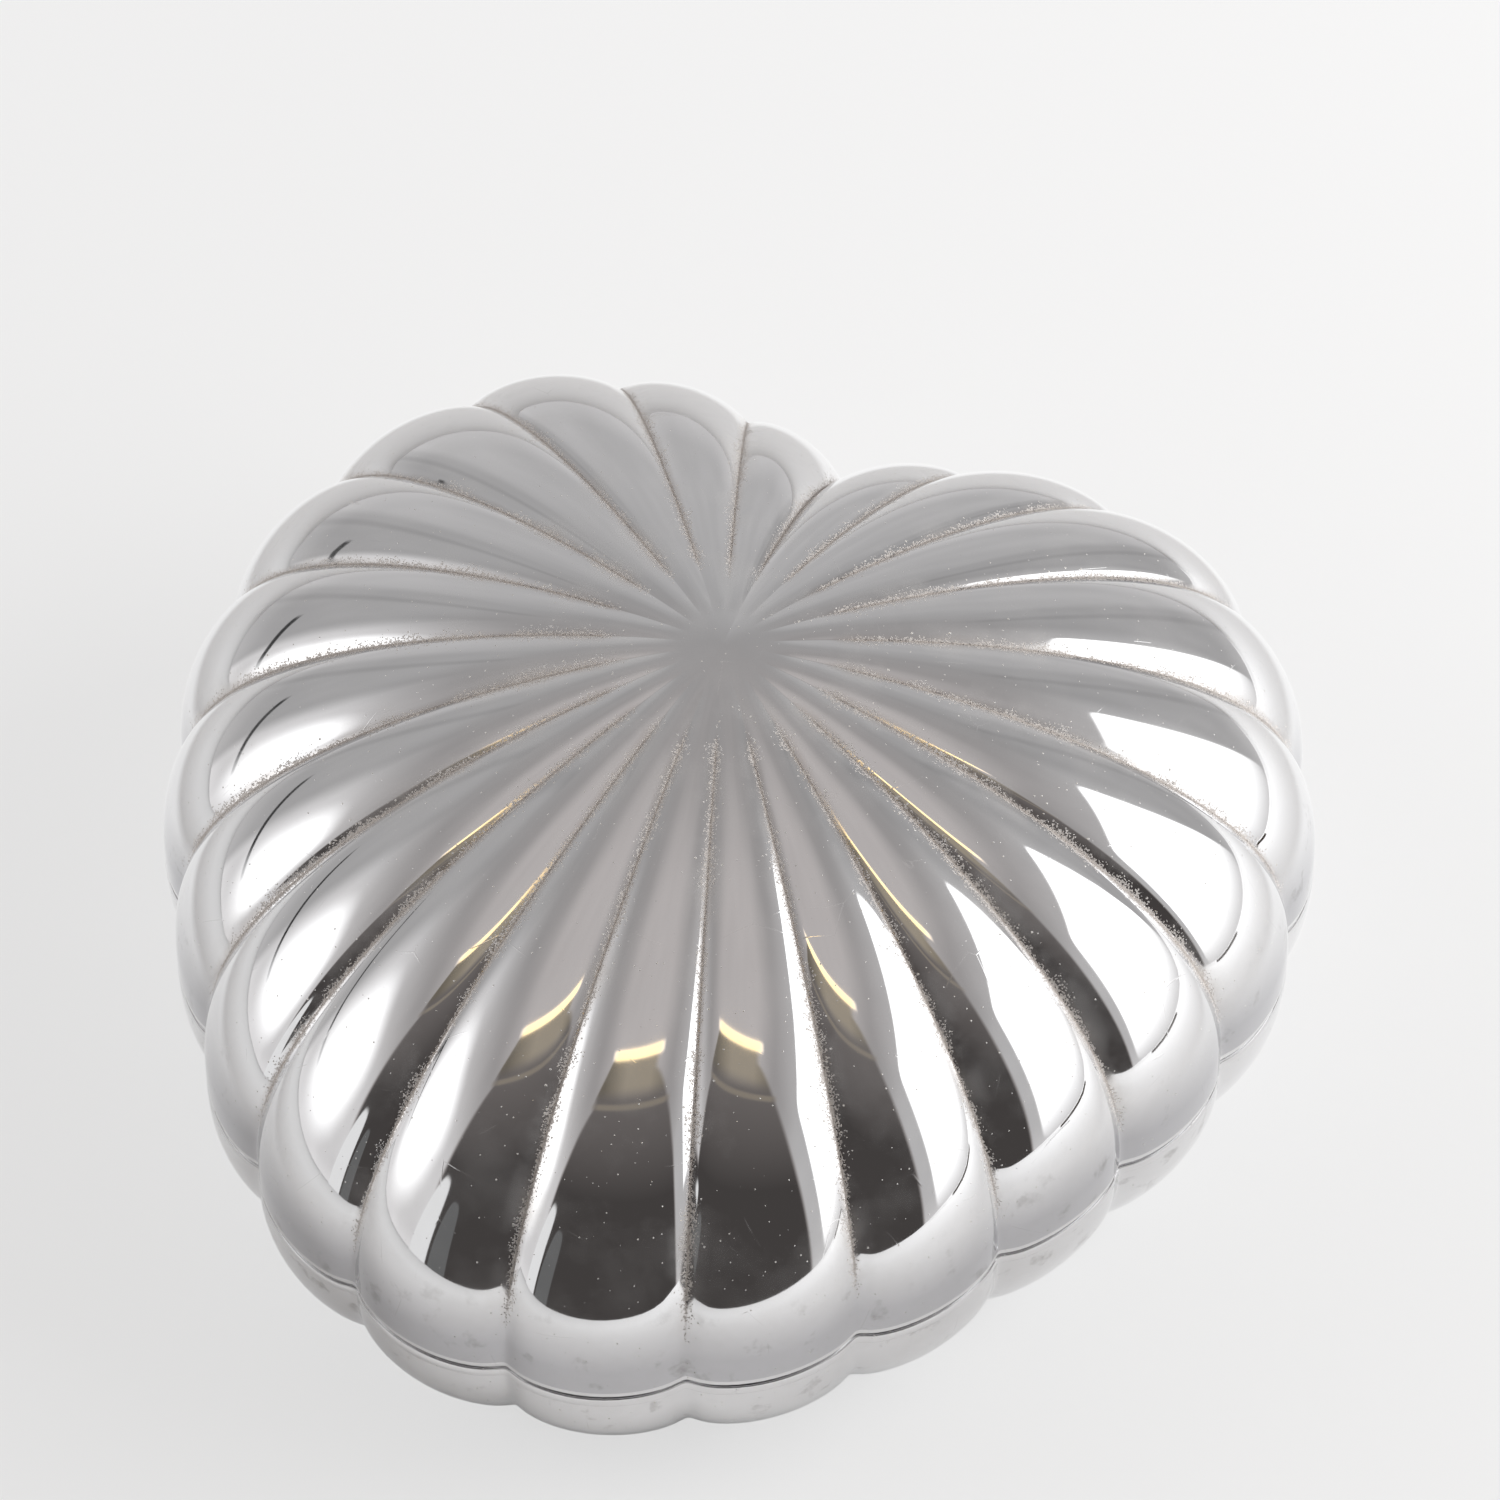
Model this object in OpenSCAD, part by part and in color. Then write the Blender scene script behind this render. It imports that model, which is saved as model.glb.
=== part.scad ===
// Heart-shaped trinket box: a fluted lid hinged to a fluted bowl, both of plated sheet metal.
// Millimetres. The box stands on z = 0, the flutes meet on the Z axis, the cleft of the heart
// points along +Y and its tip along -Y.

/* [Heart outline] */
// Distance from the centre to the groove in the cleft, at the seam
cleft_r = 37; // [32:0.1:44]
// Angle between the heart's axis and its outline where it leaves the cleft
cleft_half_angle = 56.9; // [48:0.1:70]
// Distance from the centre to the groove line at the widest part of a lobe
lobe_r = 52.3; // [46:0.1:60]
// Angle of that widest part, measured from the cleft
lobe_angle = 50; // [42:0.1:60]
// Distance from the centre to the groove line at the narrowest part of a side
waist_r = 48.4; // [42:0.1:56]
// Angle of that narrowest part, measured from the cleft
waist_angle = 120; // [110:0.1:135]
// Distance from the centre to the groove at the tip
tip_r = 58; // [50:0.1:66]

/* [Flutes] */
// Number of flutes round the heart
flute_count = 22; // [14:2:26]
// Height of a flute's round section over the grooves beside it, at the seam
flute_rise = 1.2; // [0.8:0.1:2.4]
// Power by which that height grows from the middle to the seam
flute_swell = 0.85; // [0.5:0.05:2]
// Further height at the seam, which makes the sides of a flute steeper than its crest
flute_side = 0.3; // [0:0.05:0.6]
// How far the flutes crowd towards the cleft and the tip, in degrees
flute_crowding = 1.6; // [0:0.1:3]
// Radius of the smooth spot where the flutes run together
hub_r = 4.3; // [3:0.1:8]

/* [Lid] */
// Height of the lid above the seam gap
lid_h = 30.5; // [26:0.1:36]
// Thickness of the lid's sheet
lid_wall = 1.2; // [0.8:0.1:1.6]
// Upright edge at the foot of the dome
lid_land = 0.4; // [0.2:0.1:1]
// Power that rounds the crown of the dome
crown_power = 1.6; // [1.4:0.05:2]
// Power that fills the shoulder of the dome
shoulder_power = 2.35; // [2:0.05:2.8]

/* [Base] */
// Height of the seam above the table
base_h = 17; // [14:0.1:20]
// Thickness of the base's sheet
base_wall = 1.4; // [1:0.1:1.8]
// Upright edge at the top of the bowl
base_land = 0.6; // [0.4:0.1:1]
// Depth that the bowl's curve would reach if the foot did not cut it off
bowl_depth = 26; // [22:0.1:34]

/* [Rims] */
// Thickness of the two flat rims
rim_t = 0.8; // [0.6:0.1:1]
// How far the base's rim stands out past the lid
rim_proud = 0.5; // [0.2:0.1:0.8]
// Gap between the two rims when the lid is shut
seam_gap = 0.3; // [0.2:0.05:0.5]
// Width of the lid's rim inside the grooves of the lid
lid_rim_w = 1.6; // [1:0.1:2.5]
// Height of the lip that centres the lid
lip_h = 2.3; // [1.5:0.1:3]
// Thickness of that lip
lip_t = 0.8; // [0.6:0.1:1.2]
// Gap between the lip and the lid's rim
lip_gap = 0.5; // [0.4:0.05:0.8]

/* [Hinge] */
// Radius of the hinge pin
pin_r = 0.6; // [0.4:0.05:0.8]
// Running clearance of the lid's knuckle on the pin
pin_play = 0.05; // [0.03:0.01:0.08]
// Clearance of the pin in the base's knuckles
pin_fit = 0.02; // [0.01:0.01:0.03]
// Depth of the hinge's axis below the seam
hinge_drop = 3; // [2.6:0.1:4]
// Radius of the hinge barrel
barrel_r = 1.5; // [1.3:0.1:2]
// Length of the hinge barrel
barrel_l = 16; // [12:0.5:20]
// Length of the lid's knuckle
knuckle_l = 6.7; // [5:0.1:8]
// Gap between knuckles, and round the lid's knuckle
knuckle_gap = 0.3; // [0.2:0.05:0.4]
// Angle at which the heel of the lid's knuckle stops the lid
open_angle = 95; // [90:1:100]

/* [Linings] */
// Thickness of the velvet on the wall
lining_t = 0.8; // [0.5:0.1:1.5]
// Gap between the linings and what they lie against
lining_gap = 0.2; // [0.1:0.05:0.3]
// Height of the padded floor at its edge
pad_edge_h = 2; // [1.5:0.1:3]
// Further height of the padded floor at its middle
pad_crown_h = 1.4; // [0.8:0.1:2.5]
// Thickness of the felt under the foot
felt_t = 1; // [0.6:0.1:1.5]
// How far the felt stays inside the foot's grooves
felt_inset = 1.2; // [0.5:0.1:3]

/* [Hidden] */

plate_colour = "#c9cacc";
pin_colour = "#9b9a97";
velvet_colour = "#5c1220";
felt_colour = "#2c2c30";

// Columns of points: so many to a flute on the metal, and so many round the plain linings
columns_per_flute = 6;
columns = flute_count * columns_per_flute;
plain_columns = 72;
// Rings of points on the dome and the bowl, outside and inside
dome_rings = 13;
dome_inner_rings = 8;
bowl_rings = 6;
bowl_inner_rings = 5;
lining_rings = 4;
pad_rings = 4;

flute_pitch = 360 / flute_count;
// Powers that press the further height to the sides of a flute, and towards the seam
side_power = 6;
side_swell = 2;
degrees_per_radian = 180 / PI;
cleft_slope = cleft_r / tan(cleft_half_angle) * lobe_angle / degrees_per_radian;
// Radius for which the slope of the bowl is worked out
mean_r = (lobe_r + waist_r) / 2;

// Levels, from the table up
foot_z = felt_t;
base_edge_z = base_h - rim_t;
bowl_top_z = base_edge_z - base_land;
lid_edge_z = base_h + seam_gap;
lid_shell_z = lid_edge_z + rim_t;
dome_z = lid_shell_z + lid_land;
dome_h = lid_edge_z + lid_h - dome_z;
floor_z = foot_z + base_wall;

// Angles on the bowl's curve, 90 at its top, at the foot and at the floor inside
foot_angle = acos((bowl_top_z - foot_z) / bowl_depth);
floor_angle = acos((bowl_top_z - floor_z) / bowl_depth);

// Insets of the rims from the groove line
lid_rim_inset = lid_wall + lid_rim_w;
lip_outer_inset = lid_rim_inset + lip_gap;
lip_inner_inset = lip_outer_inset + lip_t;

// Hinge: its axis lies under the rearmost part of the outline, behind the cleft
hinge_y = max([for (i = [0 : columns - 1]) rim_point(place_of(i, columns), rim_proud)[1]]);
hinge_z = base_h - hinge_drop;
// Sides of the round parts of the hinge
hinge_sides = 48;
slot_y = hinge_y - barrel_r - knuckle_gap;
slot_l = knuckle_l + 2 * knuckle_gap;
// The heel's end comes up under the base's tab, and stops with this angle to spare
heel_spare = 3;
heel_t = 1.2;
heel_reach = 0.8;
heel_l = norm([slot_y - hinge_y, base_edge_z - hinge_z]) + heel_reach;
heel_angle = 180 - asin((base_edge_z - hinge_z) / heel_l) + open_angle + heel_spare;
// Peened heads of the pin, and a bore that passes out of both ends of the barrel
pin_head_proud = 0.35;
pin_head_r = pin_r + pin_head_proud;
pin_head_t = 0.4;
bore_l = barrel_l + 2 * pin_head_t;

// Rounding of the padded floor's side, in so many steps
pad_round = 1.3;
pad_side_steps = 3;

// Cubic from a to b that starts with the given slope and ends level, for t from 0 to 1
function level_off(a, slope, b, t) =
    a + (b - a) * t * t * (3 - 2 * t) + slope * t * (1 - t) * (1 - t);

// Radius of the heart's groove line at an angle from the cleft
function heart_r(angle) =
    let (a = angle > 180 ? 360 - angle : angle)
    a < lobe_angle ? level_off(cleft_r, cleft_slope, lobe_r, a / lobe_angle)
    : a < waist_angle ? level_off(lobe_r, 0, waist_r, (a - lobe_angle) / (waist_angle - lobe_angle))
    : level_off(waist_r, 0, tip_r, (a - waist_angle) / (180 - waist_angle));

// Angle from the cleft for a place counted in equal flutes
function heart_angle(place) = place - flute_crowding * sin(2 * place);

// Height of the flutes at a place, for a share of the way from the middle to the seam
function flute_height(place, share) =
    let (u = abs(2 * (place / flute_pitch - floor(place / flute_pitch)) - 1))
    flute_rise * (1 - u * u) * pow(share, flute_swell)
    + flute_side * (1 - pow(u, side_power)) * pow(share, side_swell);

// Point at a radius and height, in the direction of a place
function polar_point(place, r, z) =
    let (a = heart_angle(place)) [r * sin(a), r * cos(a), z];

// Outline of the metal at the seam, moved out by a margin, and the plain groove line moved in
function rim_point(place, margin) =
    let (r = heart_r(heart_angle(place)) + flute_height(place, 1) + margin,
         p = polar_point(place, r, 0))
    [p[0], p[1]];
function heart_point(place, inset) =
    let (p = polar_point(place, heart_r(heart_angle(place)) - inset, 0)) [p[0], p[1]];

// Point on the dome: along is 0 at the top and 90 at the edge, depth is measured inwards
function dome_point(place, along, depth) =
    let (r = heart_r(heart_angle(place)),
         s = pow(sin(along), 2 / crown_power),
         z = dome_h * pow(cos(along), 2 / shoulder_power),
         out = dome_h * 2 / shoulder_power * sin(along),
         up = r * 2 / crown_power * pow(sin(along), 2 / crown_power - 1)
              * pow(cos(along), 2 - 2 / shoulder_power),
         length = norm([out, up]),
         hub = hub_r / r,
         offset = flute_height(place, max(0, s - hub) / (1 - hub)) - depth)
    polar_point(place, s * r + offset * out / length, dome_z + z + offset * up / length);

// Share of a thickness that the bowl's slope turns into radius
function bowl_slope(along) =
    norm([bowl_depth * sin(along), mean_r * cos(along)]) / (bowl_depth * sin(along));

// Radius of the bowl's groove line, a depth inside its outer face
function bowl_r(place, along, depth) =
    sin(along) * heart_r(heart_angle(place)) - depth * bowl_slope(along);
function bowl_z(along) = bowl_top_z - bowl_depth * cos(along);

// Point on the fluted bowl: along is 90 at its top and less towards the foot
function bowl_point(place, along, depth) =
    polar_point(place, bowl_r(place, along, depth) + flute_height(place, 1), bowl_z(along));

// Place of column i of n
function place_of(i, n) = i * 360 / n;

// Triangles between ring a and ring b of n points each
function ring_faces(a, b, n) = [for (i = [0 : n - 1], half = [0, 1])
    let (j = (i + 1) % n)
    half == 0 ? [a * n + i, a * n + j, b * n + i] : [a * n + j, b * n + j, b * n + i]];

// Solid through a list of rings of points, closed by a middle point at each end
module ringed_solid(first, rings, last) {
    n = len(rings[0]);
    m = len(rings);
    points = concat([for (ring = rings) each ring], [first, last]);
    faces = concat(
        [for (i = [0 : n - 1]) [m * n, (i + 1) % n, i]],
        [for (k = [0 : m - 2]) each ring_faces(k, k + 1, n)],
        [for (i = [0 : n - 1]) [m * n + 1, (m - 1) * n + i, (m - 1) * n + (i + 1) % n]]);
    polyhedron(points, faces);
}

// Hoop through a list of rings of points, the last joined to the first
module ringed_hoop(rings) {
    n = len(rings[0]);
    m = len(rings);
    points = [for (ring = rings) each ring];
    faces = [for (k = [0 : m - 1]) each ring_faces(k, (k + 1) % m, n)];
    polyhedron(points, faces);
}

// Fluted outline of the metal at the seam, with a margin
module fluted_outline(margin) {
    polygon([for (i = [0 : columns - 1]) rim_point(place_of(i, columns), margin)]);
}

// Plain heart, inset from the groove line
module plain_heart(inset) {
    polygon([for (i = [0 : plain_columns - 1]) heart_point(place_of(i, plain_columns), inset)]);
}

// Cylinder along X, centred on the hinge axis
module on_hinge(r, l) {
    translate([0, hinge_y, hinge_z]) rotate([0, 90, 0])
        cylinder(r = r, h = l, center = true, $fn = hinge_sides);
}

// The fluted heart dome
module lid_shell() {
    inner = [for (k = [1 : dome_inner_rings]) [for (i = [0 : columns - 1])
        dome_point(place_of(i, columns), 90 * k / dome_inner_rings, lid_wall)]];
    edge = [for (depth = [lid_wall, 0]) [for (i = [0 : columns - 1])
        let (p = rim_point(place_of(i, columns), -depth)) [p[0], p[1], lid_shell_z]]];
    outer = [for (k = [dome_rings : -1 : 1]) [for (i = [0 : columns - 1])
        dome_point(place_of(i, columns), 90 * k / dome_rings, 0)]];
    top_z = dome_z + dome_h;
    color(plate_colour)
        ringed_solid([0, 0, top_z - lid_wall], concat(inner, edge, outer), [0, 0, top_z]);
}

// Flat ring under the dome's edge, with the middle knuckle of the hinge and the heel that stops the lid
module lid_rim() {
    color(plate_colour) difference() {
        union() {
            translate([0, 0, lid_edge_z]) linear_extrude(rim_t) difference() {
                fluted_outline(0);
                plain_heart(lid_rim_inset);
            }
            translate([-knuckle_l / 2, cleft_r, lid_edge_z])
                cube([knuckle_l, hinge_y - barrel_r + rim_t - cleft_r, rim_t]);
            translate([-knuckle_l / 2, hinge_y - barrel_r, hinge_z])
                cube([knuckle_l, rim_t, lid_shell_z - hinge_z]);
            on_hinge(barrel_r, knuckle_l);
            translate([-knuckle_l / 2, hinge_y, hinge_z]) rotate([heel_angle, 0, 0])
                cube([knuckle_l, heel_l, heel_t]);
        }
        on_hinge(pin_r + pin_play, bore_l);
    }
}

// The fluted bowl with its flat foot
module base_shell() {
    outer = [for (k = [0 : bowl_rings]) [for (i = [0 : columns - 1])
        bowl_point(place_of(i, columns), foot_angle + (90 - foot_angle) * k / bowl_rings, 0)]];
    edge = [for (depth = [0, base_wall]) [for (i = [0 : columns - 1])
        let (p = rim_point(place_of(i, columns), -depth)) [p[0], p[1], base_edge_z]]];
    inner = [for (k = [bowl_inner_rings : -1 : 0]) [for (i = [0 : columns - 1])
        let (along = floor_angle + (90 - floor_angle) * k / bowl_inner_rings)
        bowl_point(place_of(i, columns), along, base_wall)]];
    color(plate_colour) ringed_solid([0, 0, foot_z], concat(outer, edge, inner), [0, 0, floor_z]);
}

// Flat ring on the bowl's edge, with the lip that centres the lid and the two outer knuckles
module base_rim() {
    color(plate_colour) difference() {
        union() {
            translate([0, 0, base_edge_z]) linear_extrude(rim_t) difference() {
                fluted_outline(rim_proud);
                plain_heart(lip_inner_inset);
            }
            translate([0, 0, base_edge_z]) linear_extrude(rim_t + lip_h) difference() {
                plain_heart(lip_outer_inset);
                plain_heart(lip_inner_inset);
            }
            translate([-barrel_l / 2, cleft_r, base_edge_z]) cube([barrel_l, hinge_y - cleft_r, rim_t]);
            translate([-barrel_l / 2, hinge_y - barrel_r, hinge_z]) cube([barrel_l, barrel_r, hinge_drop]);
            on_hinge(barrel_r, barrel_l);
        }
        translate([-slot_l / 2, slot_y, hinge_z - barrel_r - knuckle_gap])
            cube([slot_l, 2 * (barrel_r + knuckle_gap), barrel_r + knuckle_gap + hinge_drop + seam_gap]);
        on_hinge(pin_r + pin_fit, bore_l);
    }
}

// Pin with a peened head at each end
module hinge_pin() {
    color(pin_colour) {
        on_hinge(pin_r, barrel_l + pin_head_t);
        for (side = [-1, 1])
            translate([side * (barrel_l + pin_head_t) / 2, 0, 0]) on_hinge(pin_head_r, pin_head_t);
    }
}

// Velvet that lies on the ridges inside the bowl, from the floor to the base's rim
module wall_lining() {
    back = base_wall + lining_gap;
    front = back + lining_t;
    levels = [for (k = [0 : lining_rings]) floor_angle + (90 - floor_angle) * k / lining_rings];
    outer = [for (along = levels) [for (i = [0 : plain_columns - 1])
        let (place = place_of(i, plain_columns))
        polar_point(place, bowl_r(place, along, back), bowl_z(along) + lining_gap)]];
    inner = [for (k = [lining_rings : -1 : 0]) [for (i = [0 : plain_columns - 1])
        let (place = place_of(i, plain_columns), along = levels[k])
        polar_point(place, bowl_r(place, along, front), bowl_z(along) + lining_gap)]];
    color(velvet_colour) ringed_hoop(concat(outer, inner));
}

// Padded velvet floor with rounded sides and a low crown
module floor_pad() {
    bottom_z = floor_z + lining_gap;
    edge_z = bottom_z + pad_edge_h;
    margin = base_wall + lining_t + 2 * lining_gap;
    sides = [for (k = [0 : pad_side_steps]) [for (i = [0 : plain_columns - 1])
        let (place = place_of(i, plain_columns), turn = 90 * k / pad_side_steps)
        polar_point(place, bowl_r(place, floor_angle, margin) - pad_round * (1 - cos(turn)),
                    bottom_z + pad_edge_h * sin(turn))]];
    crown = [for (k = [1 : pad_rings - 1]) [for (i = [0 : plain_columns - 1])
        let (place = place_of(i, plain_columns), share = 1 - k / pad_rings)
        polar_point(place, (bowl_r(place, floor_angle, margin) - pad_round) * share,
                    edge_z + pad_crown_h * (1 - share * share))]];
    color(velvet_colour)
        ringed_solid([0, 0, bottom_z], concat(sides, crown), [0, 0, edge_z + pad_crown_h]);
}

// Felt under the foot
module underside_felt() {
    color(felt_colour) linear_extrude(felt_t)
        polygon([for (i = [0 : plain_columns - 1]) let (place = place_of(i, plain_columns),
            p = polar_point(place, bowl_r(place, foot_angle, 0) - felt_inset, 0)) [p[0], p[1]]]);
}

base_shell();
base_rim();
lid_shell();
lid_rim();
hinge_pin();
wall_lining();
floor_pad();
underside_felt();
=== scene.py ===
# Heart-shaped trinket box: the fine surfaces and finishes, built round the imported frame
import math

import bpy
from mathutils import Matrix, Vector


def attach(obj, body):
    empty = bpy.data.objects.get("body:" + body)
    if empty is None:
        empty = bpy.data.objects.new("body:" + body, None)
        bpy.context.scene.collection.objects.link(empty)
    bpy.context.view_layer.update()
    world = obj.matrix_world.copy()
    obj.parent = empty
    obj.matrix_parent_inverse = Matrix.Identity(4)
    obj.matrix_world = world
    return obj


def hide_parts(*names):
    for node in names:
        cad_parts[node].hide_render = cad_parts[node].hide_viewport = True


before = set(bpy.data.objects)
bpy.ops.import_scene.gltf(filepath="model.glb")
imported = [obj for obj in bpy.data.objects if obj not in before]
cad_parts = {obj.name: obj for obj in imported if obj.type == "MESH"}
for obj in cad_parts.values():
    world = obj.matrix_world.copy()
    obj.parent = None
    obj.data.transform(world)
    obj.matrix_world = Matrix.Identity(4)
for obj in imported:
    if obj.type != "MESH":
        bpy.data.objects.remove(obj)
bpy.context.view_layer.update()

MM = 0.001

# Heart outline, in millimetres and degrees from the cleft
CLEFT_R, CLEFT_HALF_ANGLE = 37.0, 56.9
LOBE_R, LOBE_ANGLE = 52.3, 50.0
WAIST_R, WAIST_ANGLE = 48.4, 120.0
TIP_R = 58.0
CLEFT_SLOPE = CLEFT_R / math.tan(math.radians(CLEFT_HALF_ANGLE)) * math.radians(LOBE_ANGLE)
MEAN_R = (LOBE_R + WAIST_R) / 2

# Flutes
FLUTE_COUNT = 22
FLUTE_PITCH = 360 / FLUTE_COUNT
FLUTE_RISE = 1.2
FLUTE_SWELL = 0.85
FLUTE_SIDE = 0.42
SIDE_POWER = 8
SIDE_SWELL = 2
FLUTE_CROWDING = 1.6
HUB_R = 4.3
# Rounding at the bottom of a groove, as a share of half a flute, how much more it has at the seam,
# and how late that comes in
GROOVE_ROUND = 0.015
SEAM_ROUND = 0.05
SEAM_ROUND_POWER = 10

# Levels and walls, in millimetres
LID_SHELL_Z = 18.1
DOME_Z = 18.5
DOME_H = 29.3
CROWN_POWER = 1.6
SHOULDER_POWER = 2.35
LID_WALL = 1.2
BOWL_TOP_Z = 15.6
BOWL_DEPTH = 26.0
BASE_EDGE_Z = 16.2
BASE_WALL = 1.4
FOOT_Z = 1.0
FLOOR_Z = FOOT_Z + BASE_WALL

# Rims, in millimetres
BASE_RIM_Z = (16.2, 17.0)
LID_RIM_Z = (17.4, 18.1)
LID_RIM_INSET = 2.8
LIP_INSET = (3.3, 4.1)
LIP_TOP_Z = 19.3

# Hinge, in millimetres
HINGE_Y = 44.6989
HINGE_Z = 14.0
BARREL_R = 1.5
BARREL_L = 16.0
KNUCKLE_L = 6.7
KNUCKLE_GAP = 0.3
STRAP_T = 0.8
HEEL_L = 3.643
HEEL_T = 1.2
HEEL_ANGLE = math.radians(240.84)
# Share of the heel's length at which it leaves the barrel
HEEL_START = 0.3
PIN_R = 0.6
PIN_HEAD_R = 0.95
PIN_HEAD_T = 0.4

# Linings, in millimetres
LINING_T = 0.8
LINING_GAP = 0.2
PAD_EDGE_H = 2.0
PAD_CROWN_H = 1.4
PAD_ROUND = 1.3
FELT_T = 1.0
FELT_INSET = 1.2


def linear(hex_colour):
    """Linear colour of an sRGB hex value."""
    shares = [int(hex_colour[i:i + 2], 16) / 255 for i in (1, 3, 5)]
    return tuple(s / 12.92 if s <= 0.04045 else ((s + 0.055) / 1.055) ** 2.4 for s in shares) + (1.0,)


def add_node(tree, kind, inputs=None, **settings):
    """Adds a shader node of a kind. An input is a plain value, or another node's output to link."""
    node = tree.nodes.new("ShaderNode" + kind)
    for name, value in settings.items():
        setattr(node, name, value)
    for name, value in (inputs or {}).items():
        if isinstance(value, bpy.types.NodeSocket):
            tree.links.new(value, node.inputs[name])
        else:
            node.inputs[name].default_value = value
    return node


def blank_material(name):
    """A material with nothing in it yet, and its node tree."""
    material = bpy.data.materials.new(name)
    material.use_nodes = True
    material.node_tree.nodes.clear()
    return material, material.node_tree


# The camera, at the photograph's viewing angle
VIEW_ELEVATION = math.radians(51.57)
VIEW_TURN = math.radians(18.71)
VIEW_DISTANCE = 700 * MM
VIEW_LENS = 186.93
SENSOR = 36.0
AIM = Vector((0, 0, 17.3 * MM))
AIM_RIGHT = 2.33 * MM
AIM_UP = 9.784 * MM

view_right = Vector((math.cos(VIEW_TURN), math.sin(VIEW_TURN), 0))
view_ahead = Vector((-math.sin(VIEW_TURN), math.cos(VIEW_TURN), 0))
view_forward = view_ahead * math.cos(VIEW_ELEVATION) - Vector((0, 0, math.sin(VIEW_ELEVATION)))
view_up = view_ahead * math.sin(VIEW_ELEVATION) + Vector((0, 0, math.cos(VIEW_ELEVATION)))


def place_camera():
    data = bpy.data.cameras.new("camera")
    data.sensor_fit = "HORIZONTAL"
    data.sensor_width = SENSOR
    data.lens = VIEW_LENS
    data.clip_end = 20
    camera = bpy.data.objects.new("camera", data)
    bpy.context.scene.collection.objects.link(camera)
    turn = Matrix((view_right, view_up, -view_forward)).transposed().to_4x4()
    spot = AIM + view_right * AIM_RIGHT + view_up * AIM_UP - view_forward * VIEW_DISTANCE
    camera.matrix_world = Matrix.Translation(spot) @ turn
    bpy.context.scene.camera = camera


place_camera()


# Shape of the heart and its flutes
def level_off(start, slope, end, t):
    """Curve over t from 0 to 1 that sets off at a slope and ends level."""
    return start + (end - start) * t * t * (3 - 2 * t) + slope * t * (1 - t) ** 2


def heart_radius(angle):
    """Radius of the groove line, in millimetres, at an angle from the cleft."""
    a = angle % 360
    a = 360 - a if a > 180 else a
    if a < LOBE_ANGLE:
        return level_off(CLEFT_R, CLEFT_SLOPE, LOBE_R, a / LOBE_ANGLE)
    if a < WAIST_ANGLE:
        return level_off(LOBE_R, 0, WAIST_R, (a - LOBE_ANGLE) / (WAIST_ANGLE - LOBE_ANGLE))
    return level_off(WAIST_R, 0, TIP_R, (a - WAIST_ANGLE) / (180 - WAIST_ANGLE))


def heart_angle(place):
    """Angle from the cleft, in degrees, of a place counted in equal flutes."""
    return place - FLUTE_CROWDING * math.sin(math.radians(2 * place))


def groove_share(place):
    """0 in a groove, 1 on the crest of a flute."""
    return 1 - abs(2 * (place / FLUTE_PITCH % 1) - 1)


def flute_height(place, share=1.0):
    """Height of the flutes, in millimetres, for a share of the way from the middle to the seam."""
    bend = GROOVE_ROUND + SEAM_ROUND * share ** SEAM_ROUND_POWER
    soft = math.hypot(groove_share(place), bend) - bend
    off = 1 - soft / (math.hypot(1, bend) - bend)
    crest = FLUTE_RISE * (1 - off * off) * share ** FLUTE_SWELL
    return crest + FLUTE_SIDE * (1 - off ** SIDE_POWER) * share ** SIDE_SWELL


def heart_spot(place, radius, z):
    """Point, in metres, of a radius and a height in millimetres."""
    angle = math.radians(heart_angle(place))
    return Vector((radius * math.sin(angle), radius * math.cos(angle), z)) * MM


def dome_spot(place, along):
    """Point of the dome: along is 0 at the top and 90 at the edge."""
    radius = heart_radius(heart_angle(place))
    sine = math.sin(math.radians(along))
    cosine = max(0.0, math.cos(math.radians(along)))
    share = sine ** (2 / CROWN_POWER)
    out = DOME_H * 2 / SHOULDER_POWER * sine
    up = radius * 2 / CROWN_POWER * sine ** (2 / CROWN_POWER - 1) * cosine ** (2 - 2 / SHOULDER_POWER)
    length = math.hypot(out, up) or 1.0
    hub = HUB_R / radius
    rise = flute_height(place, max(0.0, share - hub) / (1 - hub))
    height = DOME_Z + DOME_H * cosine ** (2 / SHOULDER_POWER)
    return heart_spot(place, share * radius + rise * out / length, height + rise * up / length)


def bowl_radius(place, along, depth):
    """Radius of the bowl's groove line, a depth inside its outer face; along is 90 at the top."""
    sine = math.sin(math.radians(along))
    cosine = math.cos(math.radians(along))
    slope = math.hypot(BOWL_DEPTH * sine, MEAN_R * cosine) / (BOWL_DEPTH * sine)
    return sine * heart_radius(heart_angle(place)) - depth * slope


def bowl_z(along):
    return BOWL_TOP_Z - BOWL_DEPTH * math.cos(math.radians(along))


def bowl_angle(z):
    """Angle at which the bowl has a height, the other way round from bowl_z."""
    return math.degrees(math.acos((BOWL_TOP_Z - z) / BOWL_DEPTH))


FOOT_ANGLE = bowl_angle(FOOT_Z)
FLOOR_ANGLE = bowl_angle(FLOOR_Z)


# Columns crowd towards the grooves, where the metal turns most sharply
COLUMNS_PER_FLUTE = 20
COLUMN_CROWDING = 1.5
COLUMN_ROUNDING = 1e-6


def column_place(around):
    """Place, in degrees counted in equal flutes, of a share of the way round."""
    flute = around * FLUTE_COUNT
    whole = math.floor(flute + COLUMN_ROUNDING)
    inside = max(0.0, flute - whole)
    if inside < 0.5:
        inside = 0.5 * (2 * inside) ** COLUMN_CROWDING
    else:
        inside = 1 - 0.5 * (2 * (1 - inside)) ** COLUMN_CROWDING
    return (whole + inside) * FLUTE_PITCH


MERGE = 0.001 * MM
# Edges that turn by more than this stay sharp, on the shells and on the rims and small pieces
SHELL_EDGE_ANGLE = math.radians(75)
RIM_EDGE_ANGLE = math.radians(40)


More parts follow.
